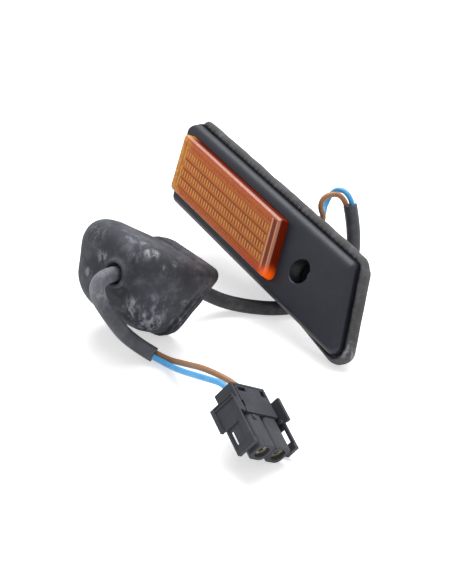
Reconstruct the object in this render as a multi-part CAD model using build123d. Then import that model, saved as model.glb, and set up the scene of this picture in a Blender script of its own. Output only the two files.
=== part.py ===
"""Side repeater lamp with its lead, rubber boot and two-way plug.

All sizes are millimetres. The lamp lies as it rests on a table: X runs along
the lamp towards its screw end, Y away from the front, Z up, floor at Z = 0.
"""
from build123d import *
from math import atan2, degrees, hypot, pi, radians, sin, tan
import os

# Plate: a slanted parallelogram with rounded edges
PLATE_X0, PLATE_X1 = 2.8, 129.0
PLATE_W = 36.0           # square to the long edge
SLANT = radians(58.3)    # corner angle
CORNER_R = 3.6
TIP_R = 4.8              # sharp corner over the lens
PLATE_FRONT = 4.2        # front face above the seam
PLATE_BACK = -1.4        # lower rim of the skirt
PLATE_WALL = 2.1
SKIRT_WALL = 1.5
EDGE_R = 2.4             # rounding of the front edge

# Screw recess in the plate
SCREW_X, SCREW_Y = 88.0, 17.1
RECESS_R = 5.2
SCREW_R = 2.7
BOSS_R = 6.6
BOSS_END = -7.4
RECESS_FLOOR = -5.0

# Lens
LENS_X0, LENS_X1 = 5.4, 83.2
LENS_Y0, LENS_Y1 = 4.9, 29.3
LENS_SLANT = radians(62.5)
LENS_RISE = 5.0          # front of the lens above the plate
LENS_DRAFT = 1.6
LENS_R = 2.2
LENS_EDGE_R = 1.2
LENS_WALL = 1.7
LENS_SKIN = 2.0
HOLLOW_R = 2.0
HOLLOW_DRAFT = 0.96
LENS_LIP = 1.0           # flange behind the plate
LIP_T = 1.6
FLUTES = 36
FLUTE_ROWS = 8
FLUTE_DEPTH = 0.6
ROW_GAP = 0.3
FLUTE_ROOT = 0.3         # flutes sink into the skin by this much
FLUTE_EDGE = 0.5         # plain strip round the flutes

# Gasket
LIP_HIGH = 1.8           # lip beyond the plate on its long edges
LIP_LOW = 2.6
LIP_END = 2.7            # lip at both ends
GASKET_TOP = 0.3
GASKET_BACK = -5.5
GASKET_R = 2.0
SEAM_GAP = 0.7

# Lamp chamber, reflector and bulb
CHAMBER_BACK = -19.0
CHAMBER_WALL = 1.7
CHAMBER_R = 1.0
CHAMBER_EDGE_R = 1.2
BULB_X, BULB_Y = 52.0, 17.3
SOCKET_R = 8.4
SOCKET_BORE = 7.0
SOCKET_END = -26.0
HOLDER_R = 9.0
HOLDER_END = -39.2
HOLDER_EDGE_R = 1.0
SPOUT_R = 4.7
SPOUT_BORE = 3.5
SPOUT_RISE = 13.5        # spout end above the bulb axis
SPOUT_FLOOR = 1.5
SEAL_T = 1.2
SPOUT_Z = (SOCKET_END - SEAL_T + HOLDER_END) / 2
GROMMET_L = 6.0
BULB_R = 5.0
BULB_TIP = 4.4
BULB_L = 20.5
BULB_TAPER, BULB_SHOULDER = 1.6, 4.0
WEDGE_W, WEDGE_T = 9.0, 2.2
WEDGE_END = -24.0
WEDGE_ROOT = 0.5
CONTACT_W, CONTACT_T = 3.0, 0.5
CONTACT_X = 2.3          # strips either side of the bulb axis
CONTACT_FLOOR = 3.2      # holder left below the strips
CONTACT_CLEAR = 1.2      # strips end this far below the bulb's neck
CONTACT_END = HOLDER_END + CONTACT_FLOOR
GRIP_GROOVES = 12
GRIP_W, GRIP_D = 1.2, 0.8
GRIP_PLAIN = 2.0         # plain band above the grooves
FOIL_T = 0.9
FOIL_DRAW = 2.6
FOIL_SINK = 0.4
FOIL_R = 4.0

# Fits
FIT = 0.15
LOOSE = 0.3

# Lead
SHEATH_R = 3.1
WIRE_R = 1.2
WIRE_OFF = 1.3           # wires lie side by side in the sheath
SLEEVE_BORE = 2.6
SLEEVE_DEPTH = 5.0
STRAIGHT = 4.9           # straight wire before a sheath end
SPOUT_CLEAR = 3.75       # and beyond the spout
BEND_SHARE = 0.45        # share of the shorter run taken by a bend

# Boot, drawn across its axis: corners (x, y, radius), then dome sections (height, share, lean)
BOOT_MOUTH = [(-13.5, 22.8, 19.0), (33.8, 15.0, 3.6), (14.5, -18.5, 9.0), (-17.0, -18.5, 9.0)]
BOOT_BODY = [(-25.2, 23.5, 13.0), (30.0, 15.5, 9.0), (14.5, -18.5, 11.0), (-21.0, -18.5, 13.0)]
BOOT_APEX = (-2.0, 8.0)
BOOT_DOME = [(8.0, 1.0, 1.6), (16.0, 0.93, 4.2), (21.0, 0.81, 5.2), (24.5, 0.61, 5.2), (26.3, 0.36, 4.0)]
BOOT_WALL = 2.4
BOOT_LIPS = [(-1.2, 1.0), (-3.4, 1.0), (-5.8, 0.6)]
BOOT_NECK = -6.8
LIP_THICK = 1.2
NECK_INSET = 0.8
NIPPLE_X, NIPPLE_Y = 8.0, 8.5
NIPPLE_R = 5.1
NIPPLE_END = 29.0
COLLAR_R = 5.9
COLLAR_L = 2.6
COLLAR_EDGE_R = 0.8
NIPPLE_MOUTH_R = 4.3
NIPPLE_MOUTH_L = 4.6

# Plug: x towards the mating end, y across, z up
PLUG_L = 12.8
PLUG_W = 19.0
PLUG_H = 9.2
PLUG_EDGE_R = 0.8
BARREL_Y = 4.35
BARREL_W = 8.5
BARREL_H = 8.2
BARREL_EDGE_R = 2.4
BARREL_END = 27.2
PIN_R = 1.25
PIN_DEPTH = 12.0
TERMINAL_R = 2.75
TERMINAL_X0, TERMINAL_X1 = 5.5, 25.8
WIRE_TURN = -3.0         # last bend of a wire, behind the plug
LID_T = 1.2
LID_RIM = 0.8
LID_LIP = 0.5
LID_GAP = 0.35           # open groove round the lid
LID_RISE = 0.1
LID_SLOTS = [(1.8, -7.2, 1.8, 4.2), (1.6, 5.2, 2.8, 2.4), (8.0, -8.4, 2.8, 0.9)]

# Latch lever on the near side: press plate, hinge web and arm with a window in a pocket
PRESS_X0, PRESS_X1 = 5.4, 15.2
PRESS_Z0, PRESS_Z1 = -6.9, 4.2
LEVER_Y0, LEVER_Y1 = -12.4, -11.0
PRESS_RIM = 1.6
PRESS_DEPTH = 0.5
RIDGE_W = 0.5
ARM_X1 = 26.4
ARM_Z0 = -4.6
ARM_TOPS = (4.2, 0.9)    # near lever, far lever
ARM_RIM = 0.7
ARM_STEP = 0.3
POCKET = (15.9, 24.4, -3.9, 1.8)
WINDOW = (17.2, 22.8, -3.3)
WINDOW_TOPS = (-2.3, 0.2)
HOOK_L, HOOK_T = 2.2, 0.7
WEB_X0, WEB_X1 = 6.6, 12.2
WEB_Z0 = -3.0
WEB_ROOT = 1.0           # web and barrels reach this far into the body
PEG_X, PEG_Z, PEG_R = 14.4, -3.8, 0.9
NOSE_X, NOSE_Y, NOSE_R = 14.9, -5.2, 1.0

# Resting places: position, then turns about Z, Y and X in degrees
LAMP_AT = ((-57.28, -22.94, 25.04), (0.0, 9.6, 53.3))
BOOT_AT = ((-2.83, -68.74, 20.35), (-75.1, -18.0, 0.0))
PLUG_AT = ((82.72, -78.49, 17.02), (-8.0, 22.0, -35.0))

# Route of the sheath: from the loop behind the lamp, along the floor, then up to the boot
LOOP_END = [(-0.8, 35.2, 30.0), (2.8, 36.0, 17.0), (11.0, 27.8, 4.7)]
FLOOR_RUN = [(21.5, 6.8), (23.0, -14.7), (7.0, -31.7)]
BOOT_RISE = (1.5, -44.7, 11.0)
BOOT_PASS = [(-9.0, -2.0), (14.0, 0.0), (33.5, 0.0)]    # along the nipple axis, above it
FRONT_END = [(13.0, -100.0, 33.2), (16.2, -95.0, 21.6), (15.1, -86.7, 7.6), (23.6, -80.2, 3.1)]

# Free bends of the wires, and which way the blue one lies in each sheath end
LOOP_ACROSS = (0.54, 0.84, 0.0)
FRONT_ACROSS = (0.49, -0.87, 0.0)
LAMP_BENDS = {"blue": [(-10.9, 28.9, 28.0), (-9.7, 33.3, 35.6)],
              "brown": [(-6.1, 21.8, 30.7), (-6.2, 25.9, 35.7)]}
PLUG_BENDS = {"blue": [(43.3, -80.6, 6.5), (65.5, -82.3, 15.5)],
              "brown": [(41.1, -77.2, 7.4), (62.3, -78.6, 16.3)]}


def pose(place):
    """Location of a sub-assembly: heading, then pitch, then roll."""
    at, (heading, pitch, roll) = place
    return Pos(*at) * Rot(Z=heading) * Rot(Y=pitch) * Rot(X=roll)


def rounded(points, radii):
    """Closed outline through points, each corner with its own radius."""
    face = make_face(Polyline(*points, close=True))
    for (x, y), radius in zip(points, radii):
        near = face.vertices().sort_by_distance(Vector(x, y, 0))[0]
        face = fillet([near], radius)
    return face


def slanted(x0, x1, y0, y1, grow, radius, tip=None, slant=SLANT):
    """Rounded parallelogram with all sides moved out by grow."""
    side = grow / sin(slant)
    low, high = y0 - grow, y1 + grow
    points = [(x0 - side, low), (x1 + side, low), (x1 + side, high), (x0 - side, high)]
    return rounded([(x - y / tan(slant), y) for x, y in points], [radius] * 3 + [tip or radius])


def plate_face(grow, radius):
    return slanted(PLATE_X0, PLATE_X1, 0, PLATE_W, grow, radius, radius + TIP_R - CORNER_R)


def lens_face(grow, radius):
    return slanted(LENS_X0, LENS_X1, LENS_Y0, LENS_Y1, grow, radius, slant=LENS_SLANT)


def prism(face, z0, z1):
    """Straight block of one outline between two heights."""
    return Pos(0, 0, z0) * extrude(face, z1 - z0)


def drafted(face, z0, z1, draw):
    """Block that narrows by draw on every side from z0 to z1."""
    rise = z1 - z0
    return Pos(0, 0, z0) * extrude(face, rise, taper=degrees(atan2(draw, abs(rise))))


def rod(x, y, radius, z0, z1):
    return prism(Pos(x, y) * Circle(radius), z0, z1)


def box(x0, x1, y0, y1, z0, z1):
    return prism(Pos((x0 + x1) / 2, (y0 + y1) / 2) * Rectangle(x1 - x0, y1 - y0), z0, z1)


def make_plate():
    body = prism(plate_face(0, CORNER_R), PLATE_BACK, PLATE_FRONT)
    body = fillet(body.faces().sort_by(Axis.Z)[-1].edges(), EDGE_R)
    under = PLATE_FRONT - PLATE_WALL
    body -= prism(plate_face(-SKIRT_WALL, CORNER_R - SKIRT_WALL), PLATE_BACK, under)
    body += rod(SCREW_X, SCREW_Y, BOSS_R, BOSS_END, under)
    body -= rod(SCREW_X, SCREW_Y, RECESS_R, RECESS_FLOOR, PLATE_FRONT)
    body -= rod(SCREW_X, SCREW_Y, SCREW_R, BOSS_END, RECESS_FLOOR)
    return body - prism(lens_face(FIT, LENS_R + FIT), under, PLATE_FRONT)


def make_lens():
    under = PLATE_FRONT - PLATE_WALL
    front = PLATE_FRONT + LENS_RISE
    cap = drafted(lens_face(0, LENS_R), PLATE_FRONT, front, LENS_DRAFT)
    cap = fillet(cap.faces().sort_by(Axis.Z)[-1].edges(), LENS_EDGE_R)
    body = cap + prism(lens_face(0, LENS_R), under, PLATE_FRONT)
    body += prism(lens_face(LENS_LIP, LENS_R), under - LIP_T, under)
    inner = front - LENS_SKIN
    body -= prism(lens_face(-LENS_WALL, HOLLOW_R), under - LIP_T, PLATE_FRONT)
    body -= drafted(lens_face(-LENS_WALL, HOLLOW_R), PLATE_FRONT, inner, HOLLOW_DRAFT)
    # flutes on the inner face, in rows, parallel to the short edges
    inset = LENS_WALL + LENS_DRAFT + FLUTE_EDGE
    x0, x1 = LENS_X0 + inset / sin(LENS_SLANT), LENS_X1 - inset / sin(LENS_SLANT)
    low, high = LENS_Y0 + inset, LENS_Y1 - inset
    pitch = (x1 - x0) / FLUTES
    comb = [(x0, inner + FLUTE_ROOT), (x0, inner)]
    for i in range(FLUTES):
        comb += [(x0 + (i + 0.5) * pitch, inner - FLUTE_DEPTH), (x0 + (i + 1) * pitch, inner)]
    comb += [(x1, inner + FLUTE_ROOT)]
    profile = make_face(Plane.XZ * Polyline(*comb, close=True))
    row = (high - low) / FLUTE_ROWS
    for i in range(FLUTE_ROWS):
        y = low + i * row
        run = Vector(-(row - ROW_GAP) / tan(LENS_SLANT), row - ROW_GAP, 0)
        band = extrude(Pos(-y / tan(LENS_SLANT), y, 0) * profile, amount=run.length, dir=run)
        body += band
    return body


def make_gasket():
    end = LIP_END / sin(SLANT)
    outline = slanted(PLATE_X0 - end, PLATE_X1 + end, -LIP_LOW, PLATE_W + LIP_HIGH, 0,
                      CORNER_R + LIP_END, TIP_R + LIP_END)
    body = prism(outline, GASKET_BACK, GASKET_TOP)
    rims = body.edges().group_by(Axis.Z)
    body = fillet(rims[0] + rims[-1], GASKET_R)
    body -= prism(plate_face(SEAM_GAP, CORNER_R + SEAM_GAP), PLATE_BACK, GASKET_TOP)
    body -= prism(lens_face(LENS_LIP + LOOSE, LENS_R), GASKET_BACK, PLATE_BACK)
    return body - rod(SCREW_X, SCREW_Y, BOSS_R + LOOSE, GASKET_BACK, PLATE_BACK)


def make_housing():
    top = PLATE_FRONT - PLATE_WALL - LIP_T
    body = prism(lens_face(LENS_LIP, LENS_R), top - LIP_T, top)
    body += prism(lens_face(0, LENS_R), CHAMBER_BACK, top - LIP_T)
    body = fillet(body.faces().sort_by(Axis.Z)[0].edges(), CHAMBER_EDGE_R)
    body -= prism(lens_face(-CHAMBER_WALL, CHAMBER_R), CHAMBER_BACK + CHAMBER_WALL, top)
    body += rod(BULB_X, BULB_Y, SOCKET_R, SOCKET_END, CHAMBER_BACK + CHAMBER_WALL)
    return body - rod(BULB_X, BULB_Y, SOCKET_BORE, SOCKET_END, CHAMBER_BACK + CHAMBER_WALL)


def make_reflector():
    top = PLATE_FRONT - PLATE_WALL - LIP_T - FOIL_SINK
    low = CHAMBER_BACK + CHAMBER_WALL + FIT
    rim = -CHAMBER_WALL - LOOSE
    body = drafted(lens_face(rim, FOIL_R), top, low, FOIL_DRAW)
    body -= drafted(lens_face(rim - FOIL_T, FOIL_R - FOIL_T / 2), top, low + FOIL_T, FOIL_DRAW)
    return body - rod(BULB_X, BULB_Y, SOCKET_BORE - LOOSE, low, low + FOIL_T)


def make_bulb():
    neck, crown = BULB_TIP - BULB_L, BULB_TIP - BULB_R
    outline = [(0, neck), (BULB_R - BULB_TAPER, neck), (BULB_R, neck + BULB_SHOULDER), (BULB_R, crown)]
    glass = Polyline(*outline) + RadiusArc((BULB_R, crown), (0, BULB_TIP), -BULB_R)
    face = make_face(glass + Line((0, BULB_TIP), (0, neck)))
    body = revolve(Plane.XZ * face, Axis.Z)
    body += box(-WEDGE_W / 2, WEDGE_W / 2, -WEDGE_T / 2, WEDGE_T / 2, WEDGE_END, neck + WEDGE_ROOT)
    return Pos(BULB_X, BULB_Y) * body


def upward(face, y0, y1):
    """Block along Y at the height of the wire spout."""
    return Pos(0, 0, SPOUT_Z) * Rot(X=-90) * prism(face, y0, y1)


def make_holder():
    top = CHAMBER_BACK + CHAMBER_WALL
    cap = SOCKET_END - SEAL_T
    body = rod(0, 0, SOCKET_BORE - FIT, cap, top)
    grip = rod(0, 0, HOLDER_R, HOLDER_END, cap)
    grip = fillet(grip.faces().sort_by(Axis.Z)[0].edges(), HOLDER_EDGE_R)
    for place in PolarLocations(HOLDER_R, GRIP_GROOVES, start_angle=180 / GRIP_GROOVES):
        grip -= place * box(-GRIP_D, GRIP_D, -GRIP_W / 2, GRIP_W / 2, HOLDER_END, cap - GRIP_PLAIN)
    body += grip
    body += upward(Circle(SPOUT_R), 0, SPOUT_RISE)
    # pocket for the wedge and the two strips, bore for the wires
    half_w, half_t = WEDGE_W / 2 + FIT, WEDGE_T / 2 + FIT
    body -= box(-half_w, half_w, -half_t, half_t, WEDGE_END - FIT, top)
    for side in (-1, 1):
        middle = side * CONTACT_X
        strip = (middle - CONTACT_W / 2 - FIT, middle + CONTACT_W / 2 + FIT)
        body -= box(*strip, WEDGE_T / 2, half_t + CONTACT_T + FIT, CONTACT_END - FIT, top)
    return Pos(BULB_X, BULB_Y) * (body - upward(Circle(SPOUT_BORE), SPOUT_FLOOR, SPOUT_RISE))


def make_grommet():
    body = upward(Circle(SPOUT_BORE - FIT), SPOUT_RISE - GROMMET_L, SPOUT_RISE)
    pair = SlotCenterToCenter(2 * WIRE_OFF, 2 * (WIRE_R + FIT))
    return Pos(BULB_X, BULB_Y) * (body - upward(pair, SPOUT_RISE - GROMMET_L, SPOUT_RISE))


def make_contact(side):
    x = BULB_X + side * CONTACT_X
    y = BULB_Y + WEDGE_T / 2 + FIT
    top = BULB_TIP - BULB_L - CONTACT_CLEAR
    return box(x - CONTACT_W / 2, x + CONTACT_W / 2, y, y + CONTACT_T, CONTACT_END, top)


def make_seal():
    low = SOCKET_END - SEAL_T
    ring = rod(BULB_X, BULB_Y, HOLDER_R - LOOSE, low, SOCKET_END)
    return ring - rod(BULB_X, BULB_Y, SOCKET_BORE, low, SOCKET_END)


def boot_face(outline, inset, share=1.0, lean=0.0):
    """Boot outline drawn in towards the apex and moved up, then with every side moved in by inset."""
    ax, ay = BOOT_APEX
    corners = [(ax + share * (x - ax), ay + share * (y - ay) + lean) for x, y, _ in outline]
    radii = [max(share * radius - inset, 1.0) for _, _, radius in outline]
    lines = []
    for (xa, ya), (xb, yb) in zip(corners, corners[1:] + corners[:1]):
        length = hypot(xb - xa, yb - ya)
        nx, ny = (yb - ya) / length, -(xb - xa) / length
        lines.append((nx, ny, nx * xa + ny * ya + inset))
    points = []
    for (a, b, c), (d, e, f) in zip(lines[-1:] + lines[:-1], lines):
        det = a * e - b * d
        points.append(((c * e - b * f) / det, (a * f - c * d) / det))
    return rounded(points[::-1], radii[::-1])


def boot_shell(inset, crown):
    """Solid form of the boot above its mouth, with its sides moved in and its height shortened."""
    dome = []
    for z, share, lean in BOOT_DOME:
        dome.append(Pos(0, 0, z * crown) * boot_face(BOOT_BODY, inset, share, lean))
    return loft([boot_face(BOOT_MOUTH, inset), dome[0]], ruled=True) + loft(dome)


def make_boot():
    """Cap with lips round its mouth and a nipple on the dome; axis along Z."""
    body = boot_shell(0, 1)
    body += prism(boot_face(BOOT_MOUTH, NECK_INSET), BOOT_NECK, 0)
    for z, out in BOOT_LIPS:
        body += prism(boot_face(BOOT_MOUTH, -out), z - LIP_THICK, z)
    body += rod(NIPPLE_X, NIPPLE_Y, NIPPLE_R, BOOT_DOME[-3][0], NIPPLE_END)
    collar = rod(NIPPLE_X, NIPPLE_Y, COLLAR_R, NIPPLE_END - COLLAR_L, NIPPLE_END)
    body += fillet(collar.edges(), COLLAR_EDGE_R)
    body -= boot_shell(BOOT_WALL, 1 - BOOT_WALL / BOOT_DOME[-1][0])
    body -= prism(boot_face(BOOT_MOUTH, BOOT_WALL), BOOT_NECK - LIP_THICK, 0)
    body -= rod(NIPPLE_X, NIPPLE_Y, NIPPLE_MOUTH_R, NIPPLE_END - NIPPLE_MOUTH_L, NIPPLE_END)
    return body - rod(NIPPLE_X, NIPPLE_Y, SHEATH_R + FIT, 0, NIPPLE_END)


def make_lever(arm_top, window_top):
    """Lever in its near place; the far one is turned half round the plug's axis."""
    outer, floor = LEVER_Y0, LEVER_Y0 + PRESS_DEPTH
    low = PRESS_Z0 + PRESS_RIM
    body = box(PRESS_X0, PRESS_X1, outer, LEVER_Y1, PRESS_Z0, PRESS_Z1)
    body -= box(PRESS_X0 + PRESS_RIM, PRESS_X1, outer, floor, low, PRESS_Z1)
    body -= box(PRESS_X0 + RIDGE_W, PRESS_X0 + 2 * RIDGE_W, outer, floor, low, PRESS_Z1)
    body += box(PRESS_X1 - RIDGE_W, ARM_X1, outer + ARM_STEP, LEVER_Y1, ARM_Z0, arm_top)
    body += box(ARM_X1 - HOOK_L, ARM_X1, LEVER_Y1, LEVER_Y1 + HOOK_T, ARM_Z0, arm_top)
    for (x0, x1, z0, z1), inner in ((POCKET, floor + ARM_STEP), ((*WINDOW, window_top), LEVER_Y1)):
        body -= box(x0, x1, outer, inner, z0, min(z1, arm_top - ARM_RIM))
    side = -PLUG_W / 2
    body += box(WEB_X0, WEB_X1, LEVER_Y1, side + WEB_ROOT, WEB_Z0, PRESS_Z1)
    return body + Rot(X=90) * rod(PEG_X, PEG_Z, PEG_R, -side, -LEVER_Y1)


def make_plug_shell():
    half, top = PLUG_W / 2, PLUG_H / 2
    body = box(0, PLUG_L, -half, half, -top, top)
    body = fillet(body.edges().filter_by(Axis.X), PLUG_EDGE_R)
    barrel = box(PLUG_L - WEB_ROOT, BARREL_END, -BARREL_W / 2, BARREL_W / 2, -BARREL_H / 2, BARREL_H / 2)
    barrel = fillet(barrel.edges().filter_by(Axis.X), BARREL_EDGE_R)
    near, far = [make_lever(*tops) for tops in zip(ARM_TOPS, WINDOW_TOPS)]
    body += near + Rot(X=180) * far
    for side in (-1, 1):
        body += Pos(0, side * BARREL_Y, 0) * barrel
    body += rod(NOSE_X, NOSE_Y, NOSE_R, 0, top)
    body -= box(LID_RIM, PLUG_L + LID_LIP + FIT, -half + LID_RIM, half - LID_RIM, top - LID_T, top)
    for side in (-1, 1):
        body -= Rot(Y=90) * rod(0, side * BARREL_Y, WIRE_R + FIT, 0, TERMINAL_X0)
        body -= Rot(Y=90) * rod(0, side * BARREL_Y, TERMINAL_R + FIT, TERMINAL_X0, BARREL_END)
    return body


def make_plug_lid():
    half, low, high = PLUG_W / 2 - LID_RIM - LID_GAP, PLUG_H / 2 - LID_T, PLUG_H / 2 + LID_RISE
    body = box(LID_RIM + LID_GAP, PLUG_L + LID_LIP, -half, half, low, high)
    for x, y, along, across in LID_SLOTS:
        body -= box(x, x + along, y, y + across, low, high)
    return body


def make_terminal(side):
    body = Rot(Y=90) * rod(0, side * BARREL_Y, TERMINAL_R, TERMINAL_X0, TERMINAL_X1)
    return body - Rot(Y=90) * rod(0, side * BARREL_Y, PIN_R, TERMINAL_X1 - PIN_DEPTH, TERMINAL_X1)


def cord(name, points, radius):
    """Tube along straight runs joined by arcs."""
    points = [Vector(*point) for point in points]
    runs = [b - a for a, b in zip(points, points[1:])]
    bends = []
    for a, b in zip(runs, runs[1:]):
        bends.append(BEND_SHARE * min(a.length, b.length) / tan(radians(a.get_angle(b)) / 2))
    path = FilletPolyline(*points, radius=bends)
    tube = sweep(Plane(path @ 0, z_dir=path % 0) * Circle(radius), path=path)
    share = tube.volume / (pi * radius ** 2 * path.length)
    print(name, "length", round(path.length, 1), "radii", [round(bend, 1) for bend in bends],
          "volume share", round(share, 4))
    return tube


def sleeve(tip, inner):
    """Bore in a sheath end, from its tip inwards."""
    tip, inner = Vector(*tip), Vector(*inner)
    return Plane(tip, z_dir=inner - tip) * rod(0, 0, SLEEVE_BORE, 0, SLEEVE_DEPTH)


def wire_exit(tip, inner, across, side):
    """Bottom of the sleeve and a place clear of it, on one side of the sheath axis."""
    tip, inner, across = Vector(*tip), Vector(*inner), Vector(*across)
    axis = (inner - tip).normalized()
    off = (across - axis * axis.dot(across)).normalized() * (side * WIRE_OFF)
    return [tip + axis * SLEEVE_DEPTH + off, tip - axis * STRAIGHT + off]


def point(place, x, y, z):
    return (place * Pos(x, y, z)).position


lamp = pose(LAMP_AT)
boot = pose(BOOT_AT) * Rot(Y=90) * Rot(Z=90)
plug = pose(PLUG_AT)

floor_run = [(x, y, SHEATH_R) for x, y in FLOOR_RUN]
boot_pass = [point(boot, NIPPLE_X, NIPPLE_Y + rise, along) for along, rise in BOOT_PASS]
route = LOOP_END + floor_run + [BOOT_RISE] + boot_pass + FRONT_END
sheath = cord("sheath", route, SHEATH_R)
sheath -= sleeve(route[0], route[1]) + sleeve(route[-1], route[-2])

strip_face = BULB_Y + WEDGE_T / 2 + FIT + CONTACT_T
wires = {}
for colour, side in (("blue", 1), ("brown", -1)):
    x = BULB_X - side * WIRE_OFF
    path = [point(lamp, x, y, SPOUT_Z) for y in (strip_face, BULB_Y + SPOUT_RISE + SPOUT_CLEAR)]
    path += LAMP_BENDS[colour]
    path += reversed(wire_exit(route[0], route[1], LOOP_ACROSS, side))
    wires[f"lamp_wire_{colour}"] = cord(f"lamp_wire_{colour}", path, WIRE_R)
    path = wire_exit(route[-1], route[-2], FRONT_ACROSS, side) + PLUG_BENDS[colour]
    path += [point(plug, WIRE_TURN, -side * BARREL_Y, 0), point(plug, TERMINAL_X0, -side * BARREL_Y, 0)]
    wires[f"plug_wire_{colour}"] = cord(f"plug_wire_{colour}", path, WIRE_R)

nodes = {
    "bezel_plate": lamp * make_plate(),
    "lens": lamp * make_lens(),
    "gasket": lamp * make_gasket(),
    "rear_housing": lamp * make_housing(),
    "reflector": lamp * make_reflector(),
    "bulb": lamp * make_bulb(),
    "bulb_holder": lamp * make_holder(),
    "holder_seal": lamp * make_seal(),
    "contact_blue": lamp * make_contact(-1),
    "contact_brown": lamp * make_contact(1),
    "wire_seal": lamp * make_grommet(),
    "sheath": sheath,
    "boot": boot * make_boot(),
    "connector_shell": plug * make_plug_shell(),
    "connector_cover": plug * make_plug_lid(),
    "terminal_blue": plug * make_terminal(-1),
    "terminal_brown": plug * make_terminal(1),
    **wires,
}

os.makedirs("parts", exist_ok=True)
for name, shape in nodes.items():
    solids = shape.solids()
    print(name, "solids", len(solids), "volume", round(sum(s.volume for s in solids), 1),
          "box", [round(v, 2) for v in (*shape.bounding_box().min, *shape.bounding_box().max)])
    export_step(shape, f"parts/{name}.step")
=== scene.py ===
"""Looks of a side repeater lamp with its lead, rubber boot and two-way connector.

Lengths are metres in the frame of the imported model, unless a class says otherwise:
X along the lamp towards its screw end, Y away from the near side, Z up from the table.
"""

import logging
from dataclasses import dataclass
from enum import Enum
from math import atan2, cos, hypot, pi, radians, sin, tan

import bmesh
import bpy
from mathutils import Matrix, Vector, noise


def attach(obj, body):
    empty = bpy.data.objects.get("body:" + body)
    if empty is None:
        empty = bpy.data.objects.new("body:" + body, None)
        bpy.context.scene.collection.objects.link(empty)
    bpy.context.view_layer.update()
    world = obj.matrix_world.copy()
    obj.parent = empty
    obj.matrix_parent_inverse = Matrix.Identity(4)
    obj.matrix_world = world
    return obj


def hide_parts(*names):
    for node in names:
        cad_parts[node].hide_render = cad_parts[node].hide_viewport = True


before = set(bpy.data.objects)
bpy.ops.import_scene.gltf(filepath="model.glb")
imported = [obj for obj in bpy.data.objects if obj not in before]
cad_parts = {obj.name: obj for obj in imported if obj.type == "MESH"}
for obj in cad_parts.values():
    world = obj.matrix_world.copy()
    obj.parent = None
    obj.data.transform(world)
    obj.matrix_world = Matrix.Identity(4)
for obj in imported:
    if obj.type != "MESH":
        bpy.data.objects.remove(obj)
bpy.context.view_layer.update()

log = logging.getLogger("side_repeater")

MM = 0.001
BODY = "root"

Point = tuple[float, float, float]
Colour = tuple[float, float, float, float]
Socket = bpy.types.NodeSocket
Span = tuple[float, float]
Sides = tuple[float, float, float, float]
Loop = list[Vector]
Edges = list[bmesh.types.BMEdge]
Route = tuple[Point, ...]
Station = tuple[Vector, Vector, Vector]

MIX_FIRST, MIX_SECOND, MIX_RESULT = 6, 7, 2      # colour sockets of a mix node
WHITE: Colour = (1.0, 1.0, 1.0, 1.0)
ALL_SMOOTH = 180.0                               # no edge stays sharp
EASING = 0.5                                     # share by which a round of smoothing moves a point


class Slot(Enum):
    """Material slots of the part's record."""

    BEZEL = "bezel"
    LENS = "lens_amber"
    GASKET = "gasket_rubber"
    HOUSING = "housing"
    FOIL = "reflector_foil"
    GLASS = "bulb_glass"
    SEAL = "seal_rubber"
    BRASS = "contact_brass"
    SHEATH = "sheath"
    BOOT = "boot_rubber"
    BLUE = "wire_blue"
    BROWN = "wire_brown"
    CONNECTOR = "connector"
    LID = "connector_lid"


class FarEnd(Enum):
    """What a cord ends in."""

    CONNECTOR = "connector"
    CUT = "bare"
    INTO_PART = "object"


def tone(red: int, green: int, blue: int) -> Colour:
    """Turn a display colour into the linear one that a shader takes.

    Args:
        red: Display value from 0 to 255, as are green and blue.
        green: See red.
        blue: See red.

    Returns:
        Linear red, green, blue and an alpha of 1.
    """
    shares = [value / 255 for value in (red, green, blue)]
    linear = [s / 12.92 if s <= 0.04045 else ((s + 0.055) / 1.055) ** 2.4 for s in shares]
    return (linear[0], linear[1], linear[2], 1.0)


@dataclass(frozen=True)
class Placement:
    """Resting place of a sub-assembly: position, then turns about Z, Y and X in degrees."""

    at: Point
    heading: float
    pitch: float
    roll: float

    def matrix(self) -> Matrix:
        """Lead from the sub-assembly's own frame to the part's.

        Returns:
            Matrix between the two frames.
        """
        turn = Matrix.Translation(self.at)
        for angle, axis in ((self.heading, "Z"), (self.pitch, "Y"), (self.roll, "X")):
            turn = turn @ Matrix.Rotation(radians(angle), 4, axis)
        return turn


@dataclass(frozen=True)
class Patch:
    """Round patch of a surface that fades out at its reach."""

    centre: Point
    reach: float
    weight: float = 1.0


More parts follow.
